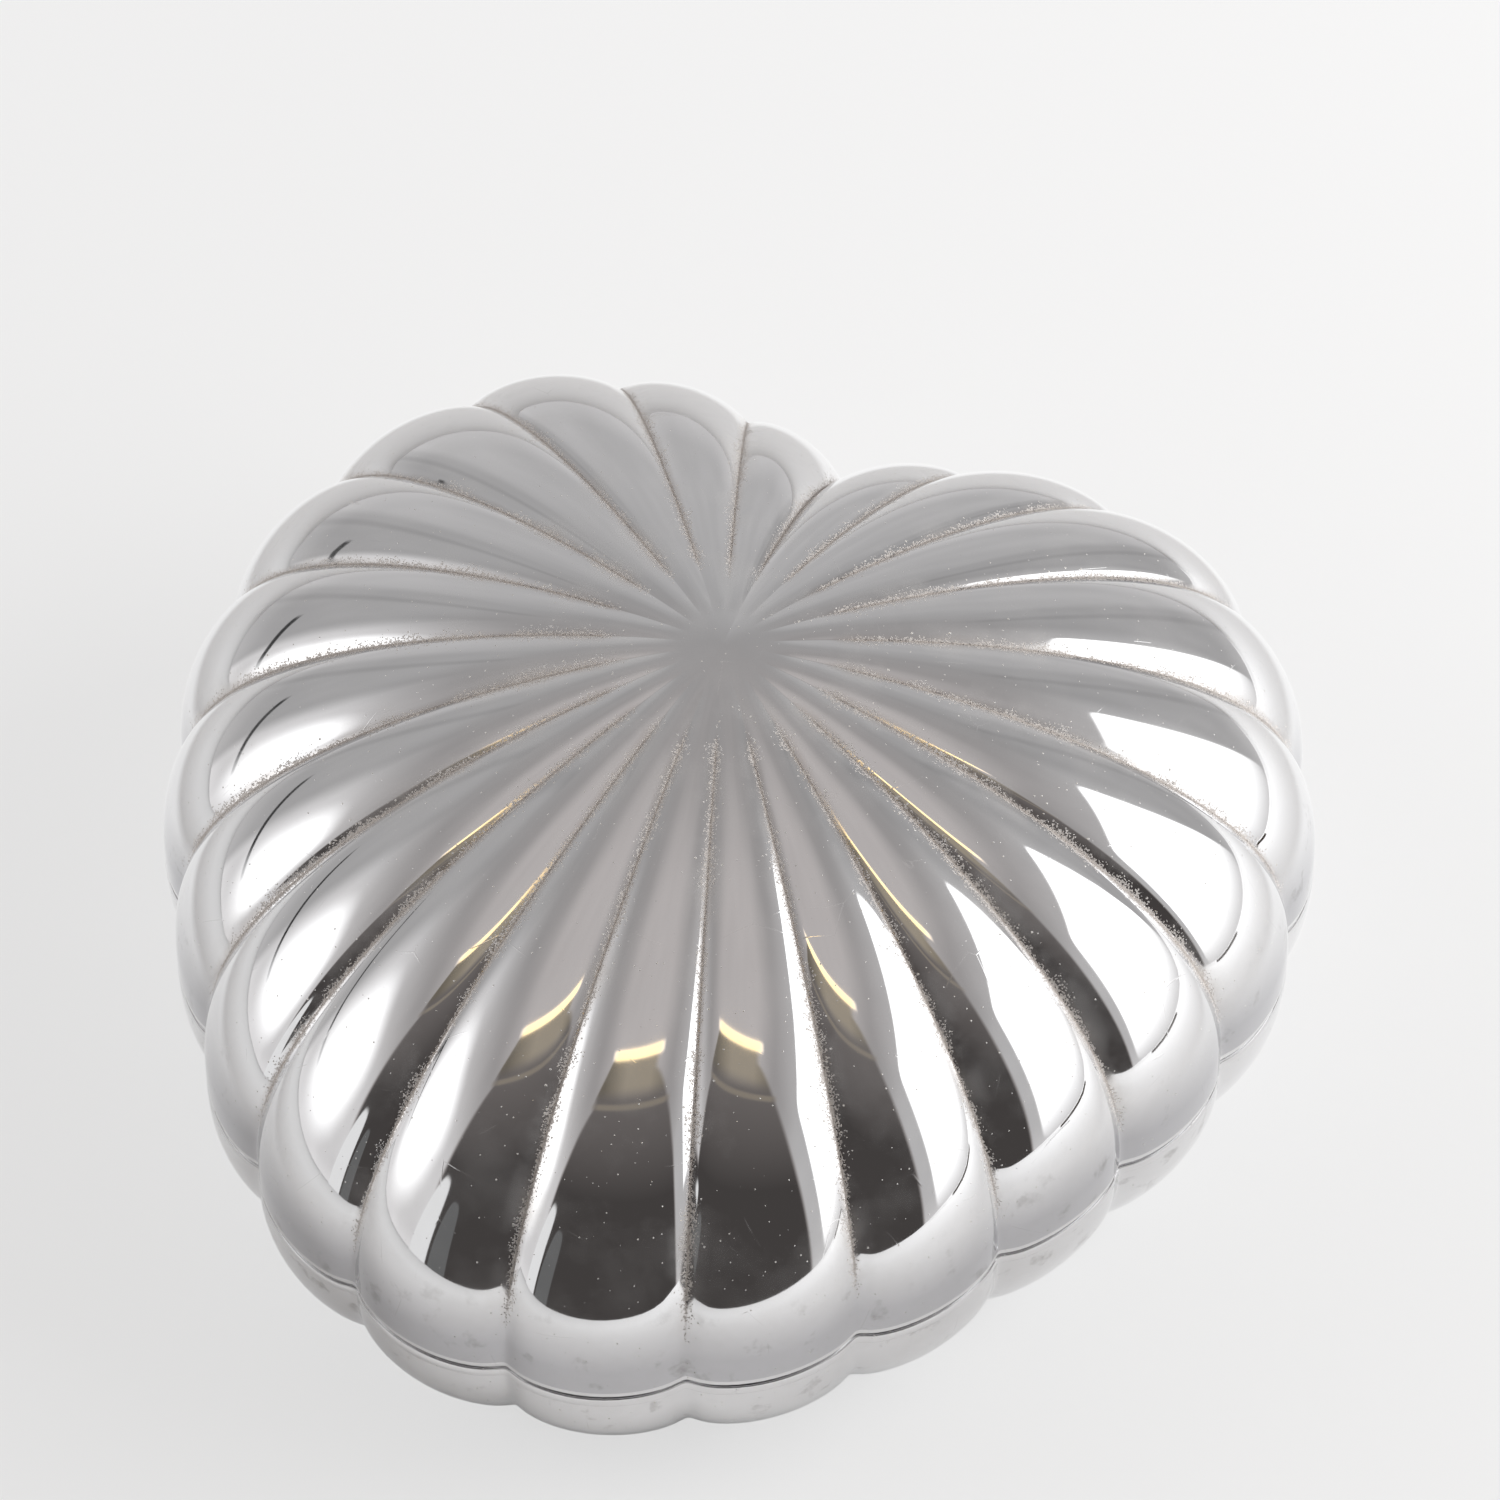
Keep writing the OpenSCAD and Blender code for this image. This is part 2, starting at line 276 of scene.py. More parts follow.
def wrapped_sheet(name, columns, rings, spot):
    """A flat grid wrapped round the heart: spot gives the point for shares around and along."""
    bpy.ops.object.select_all(action="DESELECT")
    bpy.ops.mesh.primitive_grid_add(x_subdivisions=columns, y_subdivisions=rings, size=1)
    piece = bpy.context.object
    piece.name = name
    piece.data.name = name
    for vertex in piece.data.vertices:
        vertex.co = spot(vertex.co.x + 0.5, vertex.co.y + 0.5)
    bpy.ops.object.mode_set(mode="EDIT")
    bpy.ops.mesh.select_all(action="SELECT")
    bpy.ops.mesh.remove_doubles(threshold=MERGE)
    bpy.ops.mesh.normals_make_consistent(inside=False)
    bpy.ops.object.mode_set(mode="OBJECT")
    bpy.ops.object.shade_smooth()
    return piece


def apply_modifier(piece, kind, **settings):
    bpy.ops.object.select_all(action="DESELECT")
    piece.select_set(True)
    bpy.context.view_layer.objects.active = piece
    modifier = piece.modifiers.new(kind.lower(), kind)
    for name, value in settings.items():
        setattr(modifier, name, value)
    bpy.ops.object.modifier_apply(modifier=modifier.name)


def thicken(piece, wall):
    """Gives a shell its wall. The inner side takes the second of its two material slots."""
    piece.data.materials.append(None)
    piece.data.materials.append(None)
    apply_modifier(piece, "SOLIDIFY", thickness=wall * MM, offset=-1, material_offset=1)
    bpy.ops.object.shade_smooth_by_angle(angle=SHELL_EDGE_ANGLE)


# Radius of the middle of the lid that stays clean, and how fast the dirt fades towards it
CLEAN_R = 11.0
CLEAN_SLOPE = 0.25
# Rounds that it takes to find the place from an angle
PLACE_ROUNDS = 4


def note_grooves(piece):
    """Stores each point's distance from the nearest groove, in millimetres, for the tarnish."""
    distances = []
    for vertex in piece.data.vertices:
        angle = math.degrees(math.atan2(vertex.co.x, vertex.co.y))
        place = angle
        for _ in range(PLACE_ROUNDS):
            place = angle + FLUTE_CROWDING * math.sin(math.radians(2 * place))
        radius = math.hypot(vertex.co.x, vertex.co.y) / MM
        half_width = radius * math.radians(FLUTE_PITCH / 2)
        clean = CLEAN_SLOPE * max(0.0, CLEAN_R - radius)
        distances.append(groove_share(place) * half_width + clean)
    attribute = piece.data.attributes.new("groove_mm", "FLOAT", "POINT")
    attribute.data.foreach_set("value", distances)


# Lid: the fluted heart dome, closed by a short upright edge
DOME_RINGS = 72


def lid_spot(around, along):
    place = column_place(around)
    ring = round(along * (DOME_RINGS + 1))
    if ring > DOME_RINGS:
        return heart_spot(place, heart_radius(heart_angle(place)) + flute_height(place), LID_SHELL_Z)
    return dome_spot(place, 90 * ring / DOME_RINGS)


lid_dome = wrapped_sheet("lid_dome", FLUTE_COUNT * COLUMNS_PER_FLUTE, DOME_RINGS + 1, lid_spot)
thicken(lid_dome, LID_WALL)
note_grooves(lid_dome)

# Base: the fluted bowl, with a flat foot that turns up into it on a small radius
FOOT_RINGS = 8
BOWL_RINGS = 26
FOOT_TURN = 0.8


def base_spot(around, along):
    place = column_place(around)
    flute = flute_height(place)
    ring = round(along * (FOOT_RINGS + BOWL_RINGS + 1))
    if ring <= FOOT_RINGS:
        edge = bowl_radius(place, FOOT_ANGLE, 0) + flute - FOOT_TURN
        return heart_spot(place, edge * ring / FOOT_RINGS, FOOT_Z)
    if ring <= FOOT_RINGS + BOWL_RINGS:
        share = (ring - FOOT_RINGS) / BOWL_RINGS
        angle = FOOT_ANGLE + (90 - FOOT_ANGLE) * share
        return heart_spot(place, bowl_radius(place, angle, 0) + flute, bowl_z(angle))
    return heart_spot(place, heart_radius(heart_angle(place)) + flute, BASE_EDGE_Z)


base_bowl = wrapped_sheet(
    "base_bowl", FLUTE_COUNT * COLUMNS_PER_FLUTE, FOOT_RINGS + BOWL_RINGS + 1, base_spot)
thicken(base_bowl, BASE_WALL)
note_grooves(base_bowl)


# Rims: flat rings soldered to the two edges, with a profile carried round the heart
EDGE_ROUND = 0.12
SEAM_EDGE_ROUND = 0.25
SOLDERED_ROUND = 0.01


def rounded(corners):
    """Closed profile with three points for each corner; a corner is (flutes, offset, z, radius)."""
    profile = []
    for i, corner in enumerate(corners):
        bends = []
        for other in (corners[i - 1], corners[(i + 1) % len(corners)]):
            reach = corner[3] / math.hypot(other[1] - corner[1], other[2] - corner[2])
            bends.append([c + (o - c) * reach for c, o in zip(corner[:3], other)])
        middle = [(a + b) / 4 + c / 2 for a, b, c in zip(*bends, corner)]
        profile += [bends[0], middle, bends[1]]
    return profile


def heart_ring(name, corners):
    profile = rounded(corners)

    def spot(around, along):
        place = column_place(around)
        flutes, offset, z = profile[round(along * len(profile)) % len(profile)]
        radius = heart_radius(heart_angle(place)) + flutes * flute_height(place) + offset
        return heart_spot(place, radius, z)

    ring = wrapped_sheet(name, FLUTE_COUNT * COLUMNS_PER_FLUTE, len(profile), spot)
    bpy.ops.object.shade_smooth_by_angle(angle=RIM_EDGE_ANGLE)
    return ring


def hinge_strap(name, outline, start, end):
    """A strap cut to an outline in the YZ plane, and pulled out along X."""
    bpy.ops.object.select_all(action="DESELECT")
    bpy.ops.mesh.primitive_circle_add(vertices=len(outline), fill_type="NGON")
    strap = bpy.context.object
    strap.name = name
    for vertex, (y, z) in zip(strap.data.vertices, outline):
        vertex.co = Vector((start, y, z)) * MM
    bpy.ops.object.mode_set(mode="EDIT")
    bpy.ops.mesh.select_all(action="SELECT")
    bpy.ops.mesh.extrude_region_move(TRANSFORM_OT_translate={"value": ((end - start) * MM, 0, 0)})
    bpy.ops.mesh.select_all(action="SELECT")
    bpy.ops.mesh.normals_make_consistent(inside=False)
    bpy.ops.object.mode_set(mode="OBJECT")
    apply_modifier(strap, "BEVEL", width=EDGE_ROUND * MM, segments=2, limit_method="ANGLE",
                   angle_limit=RIM_EDGE_ANGLE)
    bpy.ops.object.shade_smooth_by_angle(angle=RIM_EDGE_ANGLE)
    return strap


def barrel_arc(start, end, steps=28):
    """Points round the hinge barrel, from one angle to another, in degrees from +Y."""
    points = []
    for i in range(steps + 1):
        angle = math.radians(start + (end - start) * i / steps)
        points.append((HINGE_Y + BARREL_R * math.cos(angle), HINGE_Z + BARREL_R * math.sin(angle)))
    return points


def joined(pieces):
    """Makes the first piece out of all of them."""
    bpy.ops.object.select_all(action="DESELECT")
    for piece in pieces:
        piece.select_set(True)
    bpy.context.view_layer.objects.active = pieces[0]
    bpy.ops.object.join()
    return pieces[0]


STRAP_IN_Y = HINGE_Y - BARREL_R
base_low, base_top = BASE_RIM_Z
lid_low, lid_top = LID_RIM_Z
slot_half = KNUCKLE_L / 2 + KNUCKLE_GAP

base_ring = heart_ring("base_ring", [
    (1, 0, base_low, SOLDERED_ROUND), (1, 0, base_top, SEAM_EDGE_ROUND),
    (0, -LIP_INSET[0], base_top, EDGE_ROUND), (0, -LIP_INSET[0], LIP_TOP_Z, EDGE_ROUND),
    (0, -LIP_INSET[1], LIP_TOP_Z, EDGE_ROUND), (0, -LIP_INSET[1], base_low, EDGE_ROUND)])
base_outline = [(CLEFT_R, base_top), (HINGE_Y, base_top)]
base_outline += barrel_arc(90, -180) + [(STRAP_IN_Y, base_low), (CLEFT_R, base_low)]
tab_outline = [(CLEFT_R, base_top), (STRAP_IN_Y - KNUCKLE_GAP, base_top),
               (STRAP_IN_Y - KNUCKLE_GAP, base_low), (CLEFT_R, base_low)]
base_ring = joined([
    base_ring,
    hinge_strap("left_knuckle", base_outline, -BARREL_L / 2, -slot_half),
    hinge_strap("right_knuckle", base_outline, slot_half, BARREL_L / 2),
    hinge_strap("middle_tab", tab_outline, -slot_half, slot_half)])

lid_ring = heart_ring("lid_ring", [
    (1, 0, lid_low, SEAM_EDGE_ROUND), (1, 0, lid_top, SOLDERED_ROUND),
    (0, -LID_RIM_INSET, lid_top, EDGE_ROUND), (0, -LID_RIM_INSET, lid_low, EDGE_ROUND)])
strap_meets = math.degrees(math.acos((STRAP_T - BARREL_R) / BARREL_R))
lid_outline = [(CLEFT_R, lid_top), (STRAP_IN_Y + STRAP_T, lid_top)]
lid_outline += barrel_arc(strap_meets, -180) + [(STRAP_IN_Y, lid_low), (CLEFT_R, lid_low)]
heel_run = (math.cos(HEEL_ANGLE), math.sin(HEEL_ANGLE))
heel_side = (-math.sin(HEEL_ANGLE), math.cos(HEEL_ANGLE))
heel_outline = [
    (HINGE_Y + run * HEEL_L * heel_run[0] + side * HEEL_T * heel_side[0],
     HINGE_Z + run * HEEL_L * heel_run[1] + side * HEEL_T * heel_side[1])
    for run, side in ((HEEL_START, 0), (1, 0), (1, 1), (HEEL_START, 1))]
lid_ring = joined([
    lid_ring,
    hinge_strap("lid_knuckle", lid_outline, -KNUCKLE_L / 2, KNUCKLE_L / 2),
    hinge_strap("stop_heel", heel_outline, -KNUCKLE_L / 2, KNUCKLE_L / 2)])

# Pin: a wire with a domed head peened over at each end
PIN_SIDES = 40
# Shares of the head's thickness and radius, from the middle of the dome to its edge
HEAD_DOME = ((1.0, 0.0), (0.9, 0.5), (0.6, 0.85), (0.2, 1.0), (0.0, 1.0))
half_pin = BARREL_L / 2
pin_profile = [(half_pin + thick * PIN_HEAD_T, wide * PIN_HEAD_R) for thick, wide in HEAD_DOME]
pin_profile.append((half_pin, PIN_R))
pin_profile += [(-x, r) for x, r in reversed(pin_profile)]


def pin_spot(around, along):
    x, radius = pin_profile[round(along * (len(pin_profile) - 1))]
    angle = 2 * math.pi * around
    return Vector((x, HINGE_Y + radius * math.cos(angle), HINGE_Z + radius * math.sin(angle))) * MM


peened_pin = wrapped_sheet("peened_pin", PIN_SIDES, len(pin_profile) - 1, pin_spot)
bpy.ops.object.shade_smooth_by_angle(angle=RIM_EDGE_ANGLE)

# Wall lining: velvet that lies on the ridges of the bowl and dips a little between them
WALL_STEPS = 14
WALL_COLUMNS = FLUTE_COUNT * 12
WALL_DIP = 0.12
# Angles and shares of the thickness where the velvet turns over its top edge
WALL_EDGE = ((90, 0.4), (89.3, 0.75), (88, 1.0))
wall_back = BASE_WALL + LINING_GAP
wall_front = wall_back + LINING_T
wall_angles = [FLOOR_ANGLE + (90 - FLOOR_ANGLE) * i / WALL_STEPS for i in range(WALL_STEPS + 1)]
wall_profile = [(angle, wall_back, 0.0) for angle in wall_angles]
wall_profile += [(angle, wall_back + thick * LINING_T, 1.0) for angle, thick in WALL_EDGE]
wall_profile += [(angle, wall_front, 1.0) for angle in reversed(wall_angles[:-2])]


def wall_spot(around, along):
    place = 360 * around
    angle, depth, front = wall_profile[round(along * len(wall_profile)) % len(wall_profile)]
    between = 0.5 - 0.5 * math.cos(math.radians(FLUTE_COUNT * place))
    middle = math.sin(math.pi * (angle - FLOOR_ANGLE) / (90 - FLOOR_ANGLE))
    dip = WALL_DIP * front * between * middle
    return heart_spot(place, bowl_radius(place, angle, depth) + dip, bowl_z(angle) + LINING_GAP)


velvet_wall = wrapped_sheet("velvet_wall", WALL_COLUMNS, len(wall_profile), wall_spot)

# Floor pad: wadding under velvet, blown up by a short cloth simulation and kept inside its place
PAD_COLUMNS = 132
PAD_RINGS = 22
PAD_FLOOR_SHARE = 0.3
PAD_SIDE_SHARE = 0.5
# Room that the pad starts with beside it and over its edge, and how far it may swell
PAD_SHRINK = 0.25
PAD_EDGE_ROOM = 0.3
PAD_SWELL = 0.5
PAD_PRESSURE = 4.0
PAD_CLOTH_MASS = 0.1
PAD_QUALITY = 6
PAD_FRAMES = 15
PAD_HELD_H = 0.05
PAD_MARGIN = BASE_WALL + LINING_T + 2 * LINING_GAP
pad_low = FLOOR_Z + LINING_GAP


def pad_edge(place, z):
    """Radius of the pad beside the lining, at a height."""
    return bowl_radius(place, bowl_angle(z), PAD_MARGIN) - PAD_SHRINK


def pad_spot(around, along):
    """The first rings lie on the floor, the next lean out up the side, and the rest go over the crown."""
    place = 360 * around
    if along < PAD_FLOOR_SHARE:
        return heart_spot(place, pad_edge(place, pad_low) * along / PAD_FLOOR_SHARE, pad_low)
    side = min(1.0, (along - PAD_FLOOR_SHARE) / (PAD_SIDE_SHARE - PAD_FLOOR_SHARE))
    turn = math.radians(90 * side)
    z = pad_low + (PAD_EDGE_H - PAD_EDGE_ROOM) * math.sin(turn)
    edge = pad_edge(place, z) - PAD_ROUND * (1 - math.cos(turn))
    share = min(1.0, (1 - along) / (1 - PAD_SIDE_SHARE))
    crown = (PAD_CROWN_H - PAD_SWELL) * (1 - share * share)
    return heart_spot(place, edge * share, z + crown)


velvet_pad = wrapped_sheet("velvet_pad", PAD_COLUMNS, PAD_RINGS, pad_spot)


def puff_up(pad):
    """Cloth with air in it: the floor of the pad is held, and no point moves further than it swells."""
    rest = [vertex.co.copy() for vertex in pad.data.vertices]
    held = pad.vertex_groups.new(name="held")
    held_z = (pad_low + PAD_HELD_H) * MM
    held.add([vertex.index for vertex in pad.data.vertices if vertex.co.z < held_z], 1.0, "ADD")
    cloth = pad.modifiers.new("cloth", "CLOTH")
    cloth.settings.vertex_group_mass = "held"
    cloth.settings.use_pressure = True
    cloth.settings.uniform_pressure_force = PAD_PRESSURE
    cloth.settings.effector_weights.gravity = 0.0
    cloth.settings.mass = PAD_CLOTH_MASS
    cloth.settings.quality = PAD_QUALITY
    for number in range(1, PAD_FRAMES + 1):
        bpy.context.scene.frame_set(number)
    bpy.ops.object.select_all(action="DESELECT")
    pad.select_set(True)
    bpy.context.view_layer.objects.active = pad
    bpy.ops.object.modifier_apply(modifier="cloth")
    bpy.context.scene.frame_set(1)
    for vertex, start in zip(pad.data.vertices, rest):
        move = vertex.co - start
        if move.length > PAD_SWELL * MM:
            move = move.normalized() * PAD_SWELL * MM
        vertex.co = start + move
        vertex.co.z = max(vertex.co.z, pad_low * MM)
    pad.vertex_groups.clear()


puff_up(velvet_pad)
apply_modifier(velvet_pad, "SUBSURF", levels=1, render_levels=1)

# Felt under the foot: a flat heart with a soft cut edge
FELT_COLUMNS = 220
# Shares of the radius, offsets in millimetres and shares of the thickness, from below to the top
felt_profile = [(0.0, 0.0, 0.0), (0.5, 0.0, 0.0), (1.0, -0.25, 0.0), (1.0, 0.0, 0.25),
                (1.0, 0.0, 0.75), (1.0, -0.25, 1.0), (0.5, 0.0, 1.0), (0.0, 0.0, 1.0)]


def felt_spot(around, along):
    place = 360 * around
    share, offset, level = felt_profile[round(along * (len(felt_profile) - 1))]
    edge = bowl_radius(place, FOOT_ANGLE, 0) - FELT_INSET
    return heart_spot(place, edge * share + offset, FELT_T * level)


foot_felt = wrapped_sheet("foot_felt", FELT_COLUMNS, len(felt_profile) - 1, felt_spot)
bpy.ops.object.shade_smooth_by_angle(angle=RIM_EDGE_ANGLE)


# Sizes of the patterns on the plate, in millimetres
SMEAR_W = 8.0
MOTE_PITCH = 0.588
HAIRLINE_L = 9.1
HAIRLINE_BREAK = 3.85
GRAIN_W = 0.125
GRAIN_PATCH_W = 3.33
STAIN_W = 20.0
SCUFF_W = 3.33


# Plated and polished metal: a neutral mirror under smears, fine dust and hairline scratches. The
# grooves hold brown and pale grains of old polish, and the metal beside them is hazy
def plated_metal(name, polish, grooved):
    material, tree = blank_material(name)
    place = add_node(tree, "TexCoord").outputs["Object"]
    near = 0.0
    if grooved:
        # Dirt gathers within 2 mm of the grooves, and they are clean low down, under about 25 mm
        groove = add_node(tree, "Attribute", attribute_name="groove_mm").outputs["Fac"]
        height = add_node(tree, "SeparateXYZ", {0: place}).outputs["Z"]
        upper = add_node(tree, "MapRange", {
            "Value": height, "From Min": 22 * MM, "From Max": 28 * MM}).outputs["Result"]
        near = add_node(tree, "MapRange", {
            "Value": groove, "From Min": 0.2, "From Max": 2.0,
            "To Min": 1.0, "To Max": 0.0}).outputs["Result"]
        near = add_node(tree, "Math", {0: near, 1: upper}, operation="MULTIPLY").outputs[0]
    # Smears about 8 mm across, which dull the mirror and leave a faint pale film
    blotch = add_node(tree, "TexNoise", {
        "Vector": place, "Scale": 1 / (SMEAR_W * MM), "Detail": 5.0, "Roughness": 0.6}).outputs["Fac"]
    rough = add_node(tree, "MapRange", {
        "Value": blotch, "From Min": 0.4, "From Max": 0.75,
        "To Min": polish, "To Max": polish + 0.03}).outputs["Result"]
    film = add_node(tree, "MapRange", {
        "Value": blotch, "From Min": 0.46, "From Max": 0.75, "To Max": 0.075}).outputs["Result"]
    more = add_node(tree, "Math", {0: near, 1: 4.0, 2: 1.0}, operation="MULTIPLY_ADD").outputs[0]
    film = add_node(tree, "Math", {0: film, 1: more}, operation="MULTIPLY").outputs[0]
    # Dust: a mote to each 0.6 mm, most of them too small to see and a few up to 0.15 mm
    motes = add_node(tree, "TexVoronoi", {"Vector": place, "Scale": 1 / (MOTE_PITCH * MM)})
    pick = add_node(tree, "SeparateColor", {0: motes.outputs["Color"]}).outputs[0]
    pick = add_node(tree, "Math", {0: pick, 1: 2.2}, operation="POWER").outputs[0]
    size = add_node(tree, "Math", {0: near, 1: 0.1, 2: 0.16}, operation="MULTIPLY_ADD").outputs[0]
    over = add_node(tree, "Math", {0: pick, 1: size}, operation="MULTIPLY").outputs[0]
    inside = add_node(tree, "Math", {0: over, 1: motes.outputs["Distance"]},
                      operation="SUBTRACT").outputs[0]
    dust = add_node(tree, "MapRange", {
        "Value": inside, "From Min": 0.0, "From Max": 0.05, "To Max": 0.7}).outputs["Result"]
    # Hairlines 3 to 9 mm long, drawn 0.08 mm wide, which is coarser than real ones
    cracks = add_node(tree, "TexVoronoi", {
        "Vector": place, "Scale": 1 / (HAIRLINE_L * MM)},
        feature="DISTANCE_TO_EDGE").outputs["Distance"]
    hair = add_node(tree, "MapRange", {
        "Value": cracks, "From Min": 0.001, "From Max": 0.005,
        "To Min": 0.12, "To Max": 0.0}).outputs["Result"]
    shown = add_node(tree, "TexNoise", {
        "Vector": place, "Scale": 1 / (HAIRLINE_BREAK * MM)}).outputs["Fac"]
    shown = add_node(tree, "MapRange", {
        "Value": shown, "From Min": 0.55, "From Max": 0.65}).outputs["Result"]
    hair = add_node(tree, "Math", {0: hair, 1: shown}, operation="MULTIPLY").outputs[0]
    grit = add_node(tree, "Math", {0: dust, 1: hair}, operation="MAXIMUM").outputs[0]
    metal = linear("#e7e7e8")
    soil = linear("#c3beb6")
    if grooved:
        # The haze reaches 0.5 to 1.2 mm from the groove
        reach = add_node(tree, "MapRange", {
            "Value": blotch, "From Min": 0.35, "From Max": 0.7,
            "To Min": 0.5, "To Max": 1.2}).outputs["Result"]
        ratio = add_node(tree, "Math", {0: groove, 1: reach}, operation="DIVIDE").outputs[0]
        haze = add_node(tree, "MapRange", {
            "Value": ratio, "From Min": 0.1, "From Max": 1.0, "To Min": 0.5, "To Max": 0.0},
            interpolation_type="SMOOTHSTEP").outputs["Result"]
        haze = add_node(tree, "Math", {0: haze, 1: upper}, operation="MULTIPLY").outputs[0]
        metal = add_node(tree, "Mix", {
            0: haze, 6: metal, 7: linear("#c4bdb9")}, data_type="RGBA").outputs[2]
        rough = add_node(tree, "Math", {0: haze, 1: 0.25, 2: rough}, operation="MULTIPLY_ADD").outputs[0]
        # Grains, drawn 0.13 mm wide, which is coarser than real ones, lie thick in the groove and thin
        # out over 0.4 to 1.5 mm beside it. They are browner in patches about 20 mm across
        grain = add_node(tree, "TexVoronoi", {
            "Vector": place, "Scale": 1 / (GRAIN_W * MM)}).outputs["Color"]
        chance, shade = add_node(tree, "SeparateColor", {0: grain}).outputs[:2]
        patch = add_node(tree, "TexNoise", {
            "Vector": place, "Scale": 1 / (GRAIN_PATCH_W * MM), "Detail": 3.0}).outputs["Fac"]
        width = add_node(tree, "MapRange", {
            "Value": patch, "From Min": 0.35, "From Max": 0.65,
            "To Min": 0.4, "To Max": 1.5}).outputs["Result"]
        away = add_node(tree, "Math", {0: groove, 1: width}, operation="DIVIDE").outputs[0]
        close = add_node(tree, "MapRange", {
            "Value": away, "To Min": 1.0, "To Max": 0.0}).outputs["Result"]
        density = add_node(tree, "Math", {0: close, 1: 3.0}, operation="POWER").outputs[0]
        density = add_node(tree, "Math", {0: density, 1: upper}, operation="MULTIPLY").outputs[0]
        crust = add_node(tree, "Math", {0: density, 1: chance}, operation="GREATER_THAN").outputs[0]
        crust = add_node(tree, "Math", {0: crust, 1: 0.6}, operation="MULTIPLY").outputs[0]
        stain = add_node(tree, "TexNoise", {"Vector": place, "Scale": 1 / (STAIN_W * MM)}).outputs["Fac"]
        stain = add_node(tree, "MapRange", {
            "Value": stain, "From Min": 0.45, "From Max": 0.6}).outputs["Result"]
        brown = add_node(tree, "Mix", {
            0: stain, 6: linear("#a0948d"), 7: linear("#715f57")}, data_type="RGBA").outputs[2]
        grains = add_node(tree, "Mix", {
            0: shade, 6: brown, 7: linear("#d6d0cb")}, data_type="RGBA").outputs[2]
        # A fine dark line runs along the bottom of the groove
        crease = add_node(tree, "MapRange", {
            "Value": groove, "From Min": 0.03, "From Max": 0.16,
            "To Min": 0.65, "To Max": 0.0}).outputs["Result"]
        crease = add_node(tree, "Math", {0: crease, 1: upper}, operation="MULTIPLY").outputs[0]
        metal = add_node(tree, "Mix", {
            0: crease, 6: metal, 7: linear("#756860")}, data_type="RGBA").outputs[2]
        # The lowest part of the lid is painted darker: painted shade, for the shaded table close to the
        # box that it mirrors
        low = add_node(tree, "MapRange", {
            "Value": height, "From Min": 21 * MM, "From Max": 25.5 * MM,
            "To Min": 1.0, "To Max": 0.0}).outputs["Result"]
        lid = add_node(tree, "Math", {0: height, 1: 17.5 * MM}, operation="GREATER_THAN").outputs[0]
        low = add_node(tree, "Math", {0: low, 1: lid}, operation="MULTIPLY").outputs[0]
        metal = add_node(tree, "Mix", {
            0: low, 6: metal, 7: linear("#c6c6c9")}, data_type="RGBA").outputs[2]
        # Grey scuffs 1 to 3 mm across, low on the lid and on the base
        rubbed = add_node(tree, "TexNoise", {
            "Vector": place, "Scale": 1 / (SCUFF_W * MM), "Detail": 5.0, "Roughness": 0.65}).outputs["Fac"]
        scuff = add_node(tree, "MapRange", {
            "Value": rubbed, "From Min": 0.58, "From Max": 0.72, "To Max": 0.5}).outputs["Result"]
        lower = add_node(tree, "Math", {0: 1.0, 1: upper}, operation="SUBTRACT").outputs[0]
        scuff = add_node(tree, "Math", {0: scuff, 1: lower}, operation="MULTIPLY").outputs[0]
        metal = add_node(tree, "Mix", {
            0: scuff, 6: metal, 7: linear("#7d7876")}, data_type="RGBA").outputs[2]
        soil = add_node(tree, "Mix", {0: crust, 6: soil, 7: grains}, data_type="RGBA").outputs[2]
        grit = add_node(tree, "Math", {0: grit, 1: crust}, operation="MAXIMUM").outputs[0]
    dirt = add_node(tree, "Math", {0: grit, 1: film}, operation="MAXIMUM").outputs[0]
    colour = add_node(tree, "Mix", {0: dirt, 6: metal, 7: soil}, data_type="RGBA").outputs[2]
    metallic = add_node(tree, "Math", {0: 1.0, 1: dirt}, operation="SUBTRACT").outputs[0]
    dull = add_node(tree, "Mix", {0: grit, 2: rough, 3: 0.9}, data_type="FLOAT").outputs[0]
    bump = add_node(tree, "Bump", {"Height": grit, "Strength": 0.5, "Distance": 0.04 * MM})
    shader = add_node(tree, "BsdfPrincipled", {
        "Base Color": colour, "Metallic": metallic, "Roughness": dull, "Normal": bump.outputs[0]})
    add_node(tree, "OutputMaterial", {"Surface": shader.outputs[0]})
    return material


# Length and spacing of the drawing lines, in millimetres
DRAWN_L = 4.0
DRAWN_PITCH = 0.083


# Drawn steel wire: grey, with fine lines along its length
def drawn_steel():
    material, tree = blank_material("drawn_steel")
    place = add_node(tree, "TexCoord").outputs["Object"]
    across = 1 / (DRAWN_PITCH * MM)
    along = 1 / (DRAWN_L * MM)
    stretched = add_node(tree, "Mapping", {"Vector": place, "Scale": (along, across, across)})
    lines = add_node(tree, "TexNoise", {
        "Vector": stretched.outputs[0], "Scale": 1.0, "Detail": 2.0}).outputs["Fac"]
    colour = add_node(tree, "Mix", {
        0: lines, 6: linear("#8d8c89"), 7: linear("#b3b2ae")}, data_type="RGBA").outputs[2]
    rough = add_node(tree, "MapRange", {
        "Value": lines, "To Min": 0.22, "To Max": 0.42}).outputs["Result"]
    shader = add_node(tree, "BsdfPrincipled", {"Base Color": colour, "Metallic": 1.0, "Roughness": rough})
    add_node(tree, "OutputMaterial", {"Surface": shader.outputs[0]})
    return material


# Patches of brushed pile and tufts, in millimetres; the tufts are drawn coarser than real ones
BRUSHED_W = 7.14
TUFT_W = 0.303


